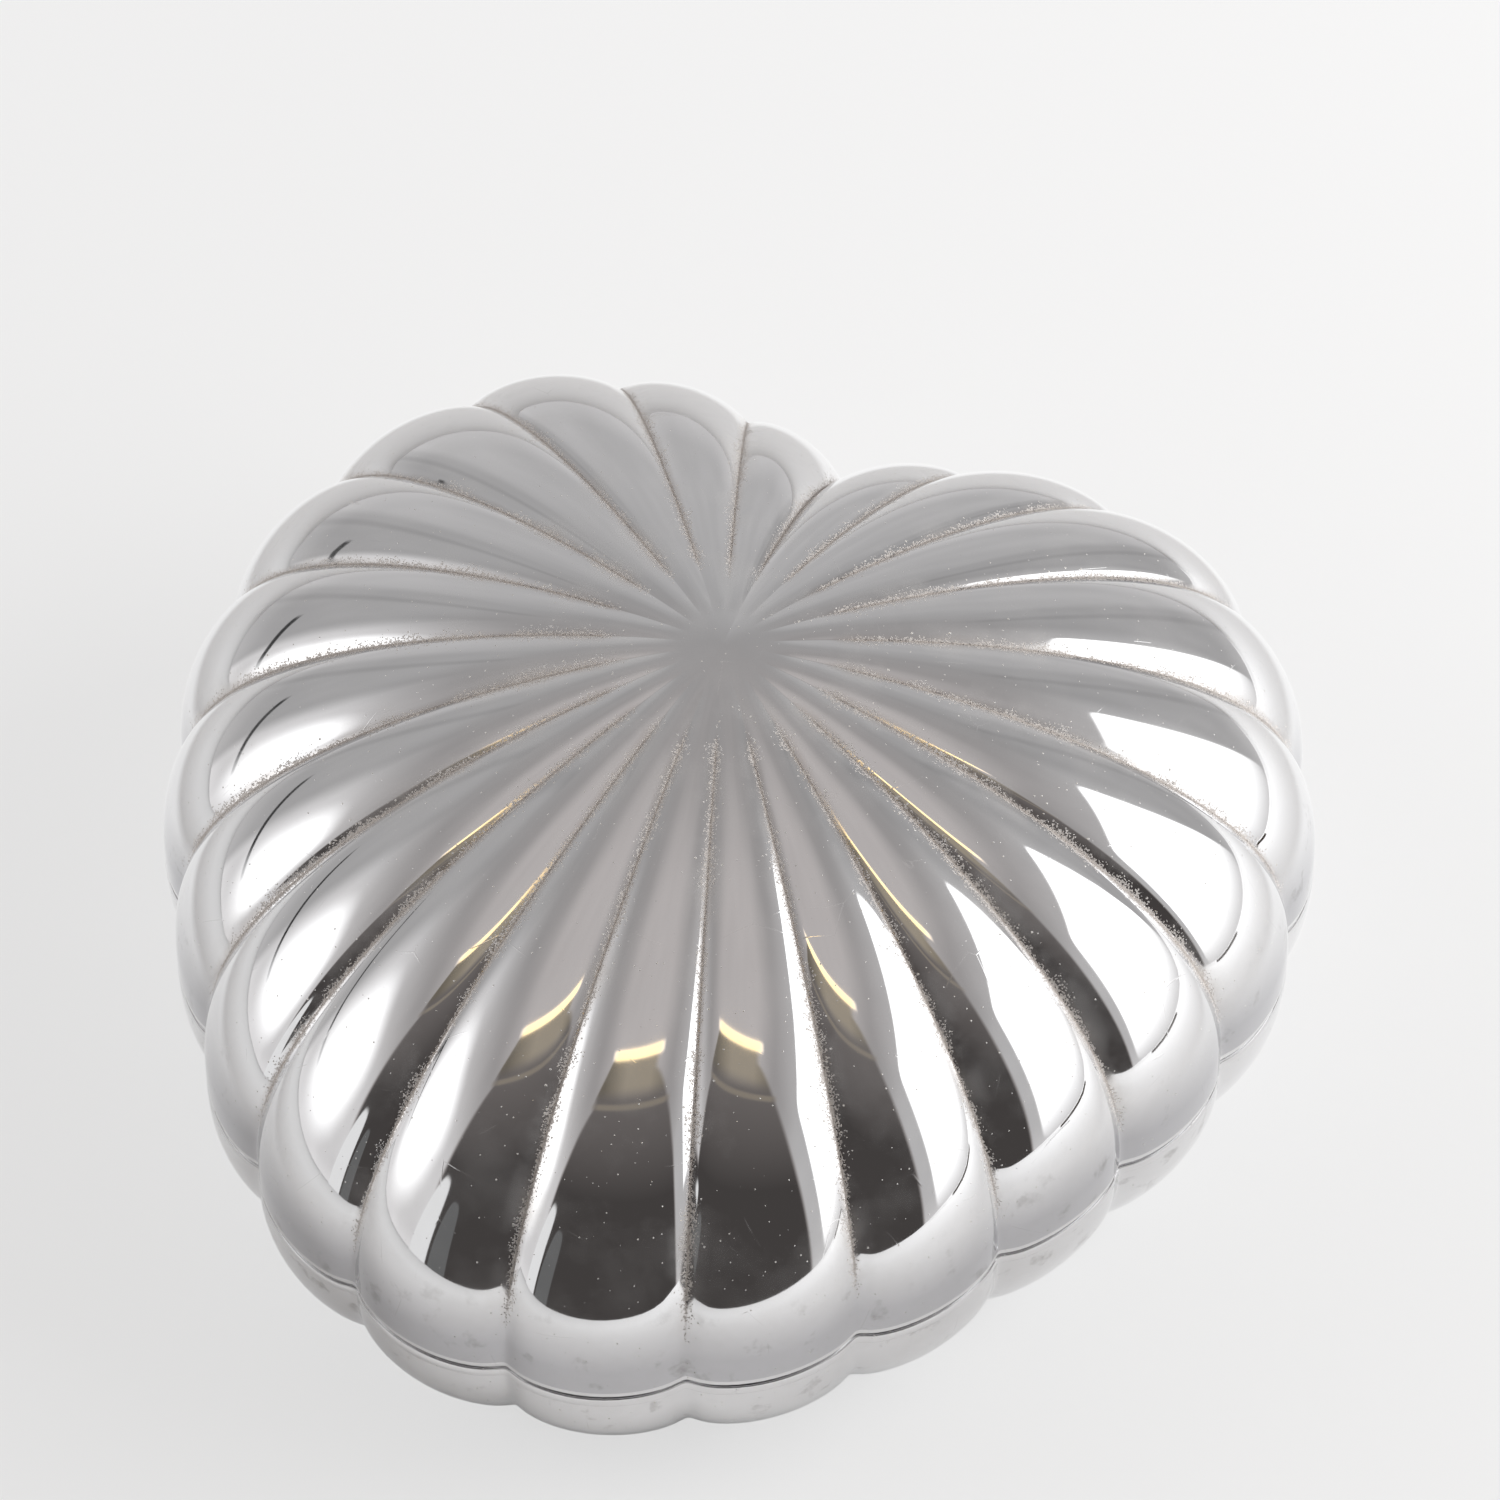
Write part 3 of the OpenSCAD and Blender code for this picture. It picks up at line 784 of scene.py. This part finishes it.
# Short-pile velvet: dark where one looks into the pile, with a soft sheen across it
def velvet():
    material, tree = blank_material("cotton_velvet")
    place = add_node(tree, "TexCoord").outputs["Object"]
    brushed, tufts = (
        add_node(tree, "TexNoise", {
            "Vector": place, "Scale": 1 / (width * MM), "Detail": 2.0}).outputs["Fac"]
        for width in (BRUSHED_W, TUFT_W))
    shade = add_node(tree, "Math", {0: tufts, 1: 0.5, 2: brushed}, operation="MULTIPLY_ADD").outputs[0]
    share = add_node(tree, "MapRange", {
        "Value": shade, "From Min": 0.5, "From Max": 1.0}).outputs["Result"]
    colour = add_node(tree, "Mix", {
        0: share, 6: linear("#4d0e1b"), 7: linear("#6d1a2b")}, data_type="RGBA").outputs[2]
    bump = add_node(tree, "Bump", {"Height": tufts, "Strength": 0.5, "Distance": 0.15 * MM})
    shader = add_node(tree, "BsdfPrincipled", {
        "Base Color": colour, "Normal": bump.outputs[0], "Roughness": 0.95, "Specular IOR Level": 0.1,
        "Sheen Weight": 0.7, "Sheen Roughness": 0.45, "Sheen Tint": linear("#d98a98")})
    add_node(tree, "OutputMaterial", {"Surface": shader.outputs[0]})
    return material


# Fibres, in millimetres, drawn coarser than real ones
FIBRE_W = 0.2


# Pressed wool felt: matt, with fibres that lie every way
def wool_felt():
    material, tree = blank_material("pressed_wool_felt")
    place = add_node(tree, "TexCoord").outputs["Object"]
    fibres = add_node(tree, "TexNoise", {
        "Vector": place, "Scale": 1 / (FIBRE_W * MM), "Detail": 4.0, "Distortion": 1.5}).outputs["Fac"]
    colour = add_node(tree, "Mix", {
        0: fibres, 6: linear("#1d1d20"), 7: linear("#3d3d42")}, data_type="RGBA").outputs[2]
    bump = add_node(tree, "Bump", {"Height": fibres, "Strength": 0.5, "Distance": 0.1 * MM})
    shader = add_node(tree, "BsdfPrincipled", {
        "Base Color": colour, "Normal": bump.outputs[0], "Roughness": 1.0,
        "Specular IOR Level": 0.05, "Sheen Weight": 0.25})
    add_node(tree, "OutputMaterial", {"Surface": shader.outputs[0]})
    return material


polished_plate = plated_metal("polished_plated_brass", 0.035, True)
plain_plate = plated_metal("plated_brass_inside", 0.2, False)
rim_plate = plated_metal("plated_brass_rim", 0.08, False)
pile = velvet()

# Each piece: its body, the solid it stands for, its finish and its materials
for piece, body, node, finish, materials in (
        (lid_dome, "lid", "lid_shell", "silver_plate", (polished_plate, plain_plate)),
        (lid_ring, "lid", "lid_rim", "silver_plate", (rim_plate,)),
        (base_bowl, "base", "base_shell", "silver_plate", (polished_plate, plain_plate)),
        (base_ring, "base", "base_rim", "silver_plate", (rim_plate,)),
        (peened_pin, "base", "hinge_pin", "pin_steel", (drawn_steel(),)),
        (velvet_wall, "base", "wall_lining", "velvet", (pile,)),
        (velvet_pad, "base", "floor_pad", "velvet", (pile,)),
        (foot_felt, "base", "underside_felt", "felt", (wool_felt(),))):
    while len(piece.data.materials) < len(materials):
        piece.data.materials.append(None)
    for slot, material in enumerate(materials):
        piece.data.materials[slot] = material
    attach(piece, body)
    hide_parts(node)


# The studio: a pale table, a grey light tent with a dark opening, and soft light panels
TABLE_FRONT = -0.39
TABLE_BACK = 0.6
TABLE_WIDTH = 1.2
# The most that a mirror sees of a card's strength, and the turn and far corners of the tent
MIRROR_LIMIT = 1.9
TENT_TURN = math.radians(2)
TENT_CORNER = math.radians(36)


def studio_table():
    bpy.ops.object.select_all(action="DESELECT")
    bpy.ops.mesh.primitive_plane_add(size=1)
    table = bpy.context.object
    table.name = "studio_table"
    for vertex in table.data.vertices:
        back = TABLE_FRONT + (TABLE_BACK - TABLE_FRONT) * (vertex.co.y + 0.5)
        vertex.co = view_right * TABLE_WIDTH * vertex.co.x + view_ahead * back
    material, tree = blank_material("white_paper")
    paper = add_node(tree, "BsdfPrincipled", {
        "Base Color": linear("#ececec"), "Roughness": 0.9, "Specular IOR Level": 0.2})
    place = add_node(tree, "TexCoord").outputs["Object"]
    far = add_node(tree, "VectorMath", {0: place}, operation="LENGTH").outputs["Value"]
    across, forth = (
        add_node(tree, "VectorMath", {0: place, 1: axis}, operation="DOT_PRODUCT").outputs["Value"]
        for axis in (view_right, view_ahead))
    # The camera sees the table lit mostly by itself, so that shadows on it stay faint
    # Its glow is painted light, a little brighter further back and to the right
    rising = add_node(tree, "Math", {0: forth, 1: 0.5, 2: 0.91}, operation="MULTIPLY_ADD").outputs[0]
    shown = add_node(tree, "Math", {0: across, 1: 0.3, 2: rising}, operation="MULTIPLY_ADD").outputs[0]
    # Reflections see it brighter further out in front, and close to the box beside and behind it
    lit = add_node(tree, "MapRange", {
        "Value": far, "From Min": 0.09, "From Max": 0.2, "To Max": 0.6}).outputs["Result"]
    side = add_node(tree, "Math", {0: across}, operation="ABSOLUTE").outputs[0]
    behind = add_node(tree, "Math", {0: forth, 1: side}, operation="SUBTRACT").outputs[0]
    ahead = add_node(tree, "MapRange", {
        "Value": behind, "From Min": -0.08, "From Max": 0.08,
        "To Min": 1.0, "To Max": 0.1}).outputs["Result"]
    lit = add_node(tree, "Math", {0: lit, 1: ahead}, operation="MULTIPLY").outputs[0]
    close = add_node(tree, "MapRange", {
        "Value": far, "From Min": 0.085, "From Max": 0.1, "To Min": 0.8, "To Max": 0.0}).outputs["Result"]
    back = add_node(tree, "MapRange", {
        "Value": forth, "From Min": -0.05, "From Max": 0.02}).outputs["Result"]
    lit = add_node(tree, "Math", {0: close, 1: back, 2: lit}, operation="MULTIPLY_ADD").outputs[0]
    glow = add_node(tree, "Math", {0: across, 1: 0.9, 2: 1.05}, operation="MULTIPLY_ADD").outputs[0]
    seen = add_node(tree, "LightPath").outputs["Is Camera Ray"]
    share = add_node(tree, "Mix", {0: seen, 2: lit, 3: 0.7}, data_type="FLOAT").outputs[0]
    strength = add_node(tree, "Mix", {0: seen, 2: glow, 3: shown}, data_type="FLOAT").outputs[0]
    pale = add_node(tree, "Emission", {"Color": linear("#ffffff"), "Strength": strength})
    mixed = add_node(tree, "MixShader", {0: share, 1: paper.outputs[0], 2: pale.outputs[0]})
    add_node(tree, "OutputMaterial", {"Surface": mixed.outputs[0]})
    table.data.materials.append(material)


def studio_card(name, bearing, distance, levels, runs, squareness, edge, strength,
                colour="#ffffff", fade=0.01, lean=0.0):
    """An upright glowing card, square to a bearing in degrees from straight ahead.

    Levels are the heights of its bottom and top. Runs are its ends along the card, at the bottom
    and at the top. A squareness of 2 makes it an oval, and a large one leaves its corners. Fade is the
    share of its height over which it comes up from its bottom edge. Lean is how much higher it ends
    than it starts.
    """
    angle = math.radians(bearing)
    out = view_ahead * math.cos(angle) + view_right * math.sin(angle)
    along = view_right * math.cos(angle) - view_ahead * math.sin(angle)
    bpy.ops.object.select_all(action="DESELECT")
    bpy.ops.mesh.primitive_plane_add(size=1)
    card = bpy.context.object
    card.name = name
    for vertex in card.data.vertices:
        start, end = runs[1] if vertex.co.y > 0 else runs[0]
        level = levels[1] if vertex.co.y > 0 else levels[0]
        run = end if vertex.co.x > 0 else start
        level += lean * vertex.co.x
        vertex.co = out * distance + along * run + Vector((0, 0, level))
    material, tree = blank_material(name)
    spread = add_node(tree, "SeparateXYZ", {0: add_node(tree, "TexCoord").outputs["UV"]})
    powers = []
    for axis in ("X", "Y"):
        off = add_node(tree, "Math", {0: spread.outputs[axis], 1: 2.0, 2: -1.0},
                       operation="MULTIPLY_ADD").outputs[0]
        size = add_node(tree, "Math", {0: off}, operation="ABSOLUTE").outputs[0]
        powers.append(add_node(tree, "Math", {0: size, 1: squareness}, operation="POWER").outputs[0])
    total = add_node(tree, "Math", {0: powers[0], 1: powers[1]}, operation="ADD").outputs[0]
    radius = add_node(tree, "Math", {0: total, 1: 1 / squareness}, operation="POWER").outputs[0]
    shown = add_node(tree, "MapRange", {
        "Value": radius, "From Min": 1 - edge, "From Max": 1.0, "To Min": 1.0, "To Max": 0.0},
        interpolation_type="SMOOTHSTEP").outputs["Result"]
    foot = add_node(tree, "MapRange", {
        "Value": spread.outputs["Y"], "From Min": 0.0, "From Max": fade}).outputs["Result"]
    shown = add_node(tree, "Math", {0: shown, 1: foot}, operation="MULTIPLY").outputs[0]
    # Mirrors see it less bright than the light it gives, so that its edge stays smooth
    mirrored = add_node(tree, "LightPath").outputs["Is Glossy Ray"]
    power = add_node(tree, "Mix", {
        0: mirrored, 2: strength, 3: min(strength, MIRROR_LIMIT)}, data_type="FLOAT").outputs[0]
    glow = add_node(tree, "Emission", {"Color": linear(colour), "Strength": power})
    clear = add_node(tree, "BsdfTransparent")
    mixed = add_node(tree, "MixShader", {0: shown, 1: clear.outputs[0], 2: glow.outputs[0]})
    add_node(tree, "OutputMaterial", {"Surface": mixed.outputs[0]})
    card.data.materials.append(material)
    card.visible_camera = False
    card.visible_shadow = False


def studio_tent():
    world = bpy.data.worlds.new("light_tent")
    world.use_nodes = True
    bpy.context.scene.world = world
    tree = world.node_tree
    tree.nodes.clear()
    direction = add_node(tree, "TexCoord").outputs["Generated"]
    turned = add_node(tree, "VectorRotate", {
        "Vector": direction, "Angle": -VIEW_TURN}, rotation_type="Z_AXIS")
    axes = add_node(tree, "SeparateXYZ", {0: turned.outputs[0]})
    right, ahead, up = (axes.outputs[i] for i in range(3))
    # Degrees from straight up, split into a part to the right and a part ahead
    tilt = add_node(tree, "Math", {0: up}, operation="ARCCOSINE")
    bearing = add_node(tree, "Math", {0: right, 1: ahead}, operation="ARCTAN2")
    degrees = add_node(tree, "Math", {0: tilt.outputs[0]}, operation="DEGREES").outputs[0]
    sine = add_node(tree, "Math", {0: bearing.outputs[0]}, operation="SINE")
    cosine = add_node(tree, "Math", {0: bearing.outputs[0]}, operation="COSINE")
    across = add_node(tree, "Math", {0: degrees, 1: sine.outputs[0]}, operation="MULTIPLY").outputs[0]
    forth = add_node(tree, "Math", {0: degrees, 1: cosine.outputs[0]}, operation="MULTIPLY").outputs[0]
    # Grey cloth: dimmer in a ring round the top, paler low down behind the box and by the panels
    off_back = add_node(tree, "Math", {0: bearing.outputs[0], 1: TENT_TURN},
                        operation="SUBTRACT").outputs[0]
    off_back = add_node(tree, "Math", {0: off_back}, operation="ABSOLUTE").outputs[0]
    back = add_node(tree, "MapRange", {
        "Value": off_back, "From Min": 0.45, "From Max": 0.68,
        "To Min": 1.0, "To Max": 0.0}).outputs["Result"]
    behind = add_node(tree, "Math", {0: degrees, 1: back}, operation="MULTIPLY").outputs[0]
    level_with = add_node(tree, "MapRange", {
        "Value": forth, "From Min": 25.0, "From Max": 55.0,
        "To Min": 1.0, "To Max": 0.0}).outputs["Result"]
    beside = add_node(tree, "Math", {0: across, 1: level_with}, operation="MULTIPLY").outputs[0]
    cloth = 0.55
    for value, start, end, change in (
            (degrees, 12.0, 28.0, -0.16), (degrees, 38.0, 58.0, 0.06), (degrees, 82.0, 97.0, 0.14),
            (behind, 42.0, 75.0, 0.09), (beside, -27.0, -52.0, 0.34), (beside, 24.0, 42.0, 0.12)):
        part = add_node(tree, "MapRange", {
            "Value": value, "From Min": start, "From Max": end, "To Max": change},
            interpolation_type="SMOOTHSTEP").outputs["Result"]
        cloth = add_node(tree, "Math", {0: cloth, 1: part}, operation="ADD").outputs[0]
    folds = add_node(tree, "TexNoise", {"Vector": turned.outputs[0], "Scale": 3.0, "Detail": 2.0})
    draped = add_node(tree, "Math", {0: folds.outputs["Fac"], 1: 0.3, 2: 0.85},
                      operation="MULTIPLY_ADD").outputs[0]
    cloth = add_node(tree, "Math", {0: cloth, 1: draped}, operation="MULTIPLY").outputs[0]
    # An upright seam runs down each of its two far corners
    corner = add_node(tree, "Math", {0: off_back, 1: TENT_CORNER}, operation="SUBTRACT").outputs[0]
    corner = add_node(tree, "Math", {0: corner}, operation="ABSOLUTE").outputs[0]
    seam = add_node(tree, "MapRange", {
        "Value": corner, "From Min": 0.01, "From Max": 0.045,
        "To Min": 0.13, "To Max": 0.0}).outputs["Result"]
    foot = add_node(tree, "MapRange", {"Value": degrees, "From Min": 40.0, "From Max": 46.0})
    seam = add_node(tree, "Math", {0: seam, 1: foot.outputs[0]}, operation="MULTIPLY").outputs[0]
    kept = add_node(tree, "Math", {0: 1.0, 1: seam}, operation="SUBTRACT").outputs[0]
    cloth = add_node(tree, "Math", {0: cloth, 1: kept}, operation="MULTIPLY").outputs[0]
    # The hem over the opening sags to the right, and the opening falls away on the left
    bow = add_node(tree, "Math", {0: across, 1: 0.0055, 2: -0.11}, operation="MULTIPLY_ADD").outputs[0]
    hem_line = add_node(tree, "Math", {0: across, 1: bow, 2: -7.6}, operation="MULTIPLY_ADD").outputs[0]
    left_line = add_node(tree, "Math", {0: across, 1: 0.485, 2: 3.3}, operation="MULTIPLY_ADD").outputs[0]
    top_line = add_node(tree, "Math", {0: hem_line, 1: left_line}, operation="MINIMUM").outputs[0]
    under_hem = add_node(tree, "Math", {0: hem_line, 1: forth}, operation="SUBTRACT").outputs[0]
    under_top = add_node(tree, "Math", {0: top_line, 1: forth}, operation="SUBTRACT").outputs[0]
    # The opening is an arch that spreads downwards, a little to the left
    drop = add_node(tree, "Math", {0: -7.5, 1: forth}, operation="SUBTRACT").outputs[0]
    below = add_node(tree, "Math", {0: drop, 1: 3.5}, operation="SUBTRACT").outputs[0]
    below = add_node(tree, "Math", {0: below, 1: 0.0}, operation="MAXIMUM").outputs[0]
    arch = add_node(tree, "Math", {0: below, 1: 0.7}, operation="POWER").outputs[0]
    half = add_node(tree, "Math", {0: arch, 1: 3.78, 2: 19.0}, operation="MULTIPLY_ADD").outputs[0]
    shifted = add_node(tree, "Math", {0: across, 1: 6.0}, operation="ADD").outputs[0]
    aside = add_node(tree, "Math", {0: shifted}, operation="ABSOLUTE").outputs[0]
    inside = add_node(tree, "Math", {0: half, 1: aside}, operation="SUBTRACT").outputs[0]
    top = add_node(tree, "MapRange", {
        "Value": under_top, "From Min": -0.3, "From Max": 0.7}, interpolation_type="SMOOTHSTEP")
    side = add_node(tree, "MapRange", {
        "Value": inside, "From Min": -2.5, "From Max": 2.5}, interpolation_type="SMOOTHSTEP")
    opening = add_node(tree, "Math", {0: top.outputs[0], 1: side.outputs[0]},
                       operation="MULTIPLY").outputs[0]
    # Behind it a dim valance with a pale lower edge hangs over the dark room
    middle = add_node(tree, "Math", {0: across, 1: 2.0}, operation="SUBTRACT").outputs[0]
    middle = add_node(tree, "Math", {0: middle}, operation="ABSOLUTE").outputs[0]
    valance = add_node(tree, "MapRange", {
        "Value": middle, "From Min": 8.0, "From Max": 22.0,
        "To Min": 0.37, "To Max": 0.17}).outputs["Result"]
    dark = add_node(tree, "MapRange", {
        "Value": under_hem, "From Min": 10.0, "From Max": 32.0,
        "To Min": 0.16, "To Max": 0.065}).outputs["Result"]
    hangs = add_node(tree, "MapRange", {
        "Value": under_hem, "From Min": 5.0, "From Max": 8.6},
        interpolation_type="SMOOTHSTEP").outputs["Result"]
    dim = add_node(tree, "Mix", {0: hangs, 2: valance, 3: dark}, data_type="FLOAT").outputs[0]
    level = add_node(tree, "Mix", {0: opening, 2: cloth, 3: dim}, data_type="FLOAT").outputs[0]
    tone = add_node(tree, "Mix", {
        0: hangs, 6: linear("#fff0d8"), 7: linear("#fff4f0")}, data_type="RGBA").outputs[2]
    low = add_node(tree, "MapRange", {"Value": degrees, "From Min": 15.0, "From Max": 50.0})
    cool = add_node(tree, "Mix", {
        0: low.outputs[0], 6: linear("#fff8f6"), 7: linear("#fdfbfb")}, data_type="RGBA").outputs[2]
    tone = add_node(tree, "Mix", {0: opening, 6: cool, 7: tone}, data_type="RGBA").outputs[2]
    # Two thin lines: the bright warm hem, and the valance's lower edge
    run = add_node(tree, "Math", {0: across}, operation="ABSOLUTE").outputs[0]
    for spot, half, reach, strength, colour in (
            (0.0, 1.1, 14.5, 2.6, "#ffdc9a"), (9.0, 0.8, 22.0, 0.28, "#fff0dc")):
        ends = add_node(tree, "MapRange", {
            "Value": run, "From Min": reach, "From Max": 1.25 * reach,
            "To Min": 1.0, "To Max": 0.0}).outputs["Result"]
        off = add_node(tree, "Math", {0: under_hem, 1: spot}, operation="SUBTRACT").outputs[0]
        size = add_node(tree, "Math", {0: off}, operation="ABSOLUTE").outputs[0]
        line = add_node(tree, "MapRange", {
            "Value": size, "From Min": 0.4 * half, "From Max": half, "To Min": 1.0, "To Max": 0.0},
            interpolation_type="SMOOTHSTEP").outputs["Result"]
        share = add_node(tree, "Math", {0: line, 1: ends}, operation="MULTIPLY").outputs[0]
        tone = add_node(tree, "Mix", {0: share, 6: tone, 7: linear(colour)}, data_type="RGBA").outputs[2]
        level = add_node(tree, "Mix", {0: share, 2: level, 3: strength}, data_type="FLOAT").outputs[0]
    room = add_node(tree, "Background", {"Color": tone, "Strength": level})
    plain = add_node(tree, "Background", {"Color": linear("#f2f2f2"), "Strength": 1.0})
    seen = add_node(tree, "LightPath").outputs["Is Camera Ray"]
    mixed = add_node(tree, "MixShader", {0: seen, 1: room.outputs[0], 2: plain.outputs[0]})
    add_node(tree, "OutputWorld", {"Surface": mixed.outputs[0]})


studio_table()
studio_card("right_panel", 90, 0.42, (0.0, 0.515), ((-0.235, 0.31), (-0.225, 0.185)), 14, 0.06, 5.0,
            fade=0.24)
studio_card("left_panel", -90, 0.5, (0.0, 0.58), ((-0.235, 0.23), (-0.235, 0.23)), 2.5, 0.7, 3.5)
studio_card("fill_panel", -125.5, 0.6, (-0.47, 0.47), ((-0.06, 0.06), (-0.06, 0.06)), 3, 0.08, 0.9)
studio_card("grey_screen", -138, 0.62, (-0.42, 0.42), ((-0.06, 0.06), (-0.06, 0.06)), 3, 0.05, 0.15)
studio_card("light_stand", -62, 0.55, (0.14, 0.158), ((-0.19, 0.16), (-0.19, 0.16)), 14, 0.2, 0.05,
            lean=0.05)
studio_card("table_edge", 90, 0.40, (-0.002, 0.008), ((0.02, 0.2), (0.02, 0.2)), 14, 0.1, 0.09, "#a9876b")
studio_tent()

bpy.context.scene.view_settings.view_transform = "Standard"
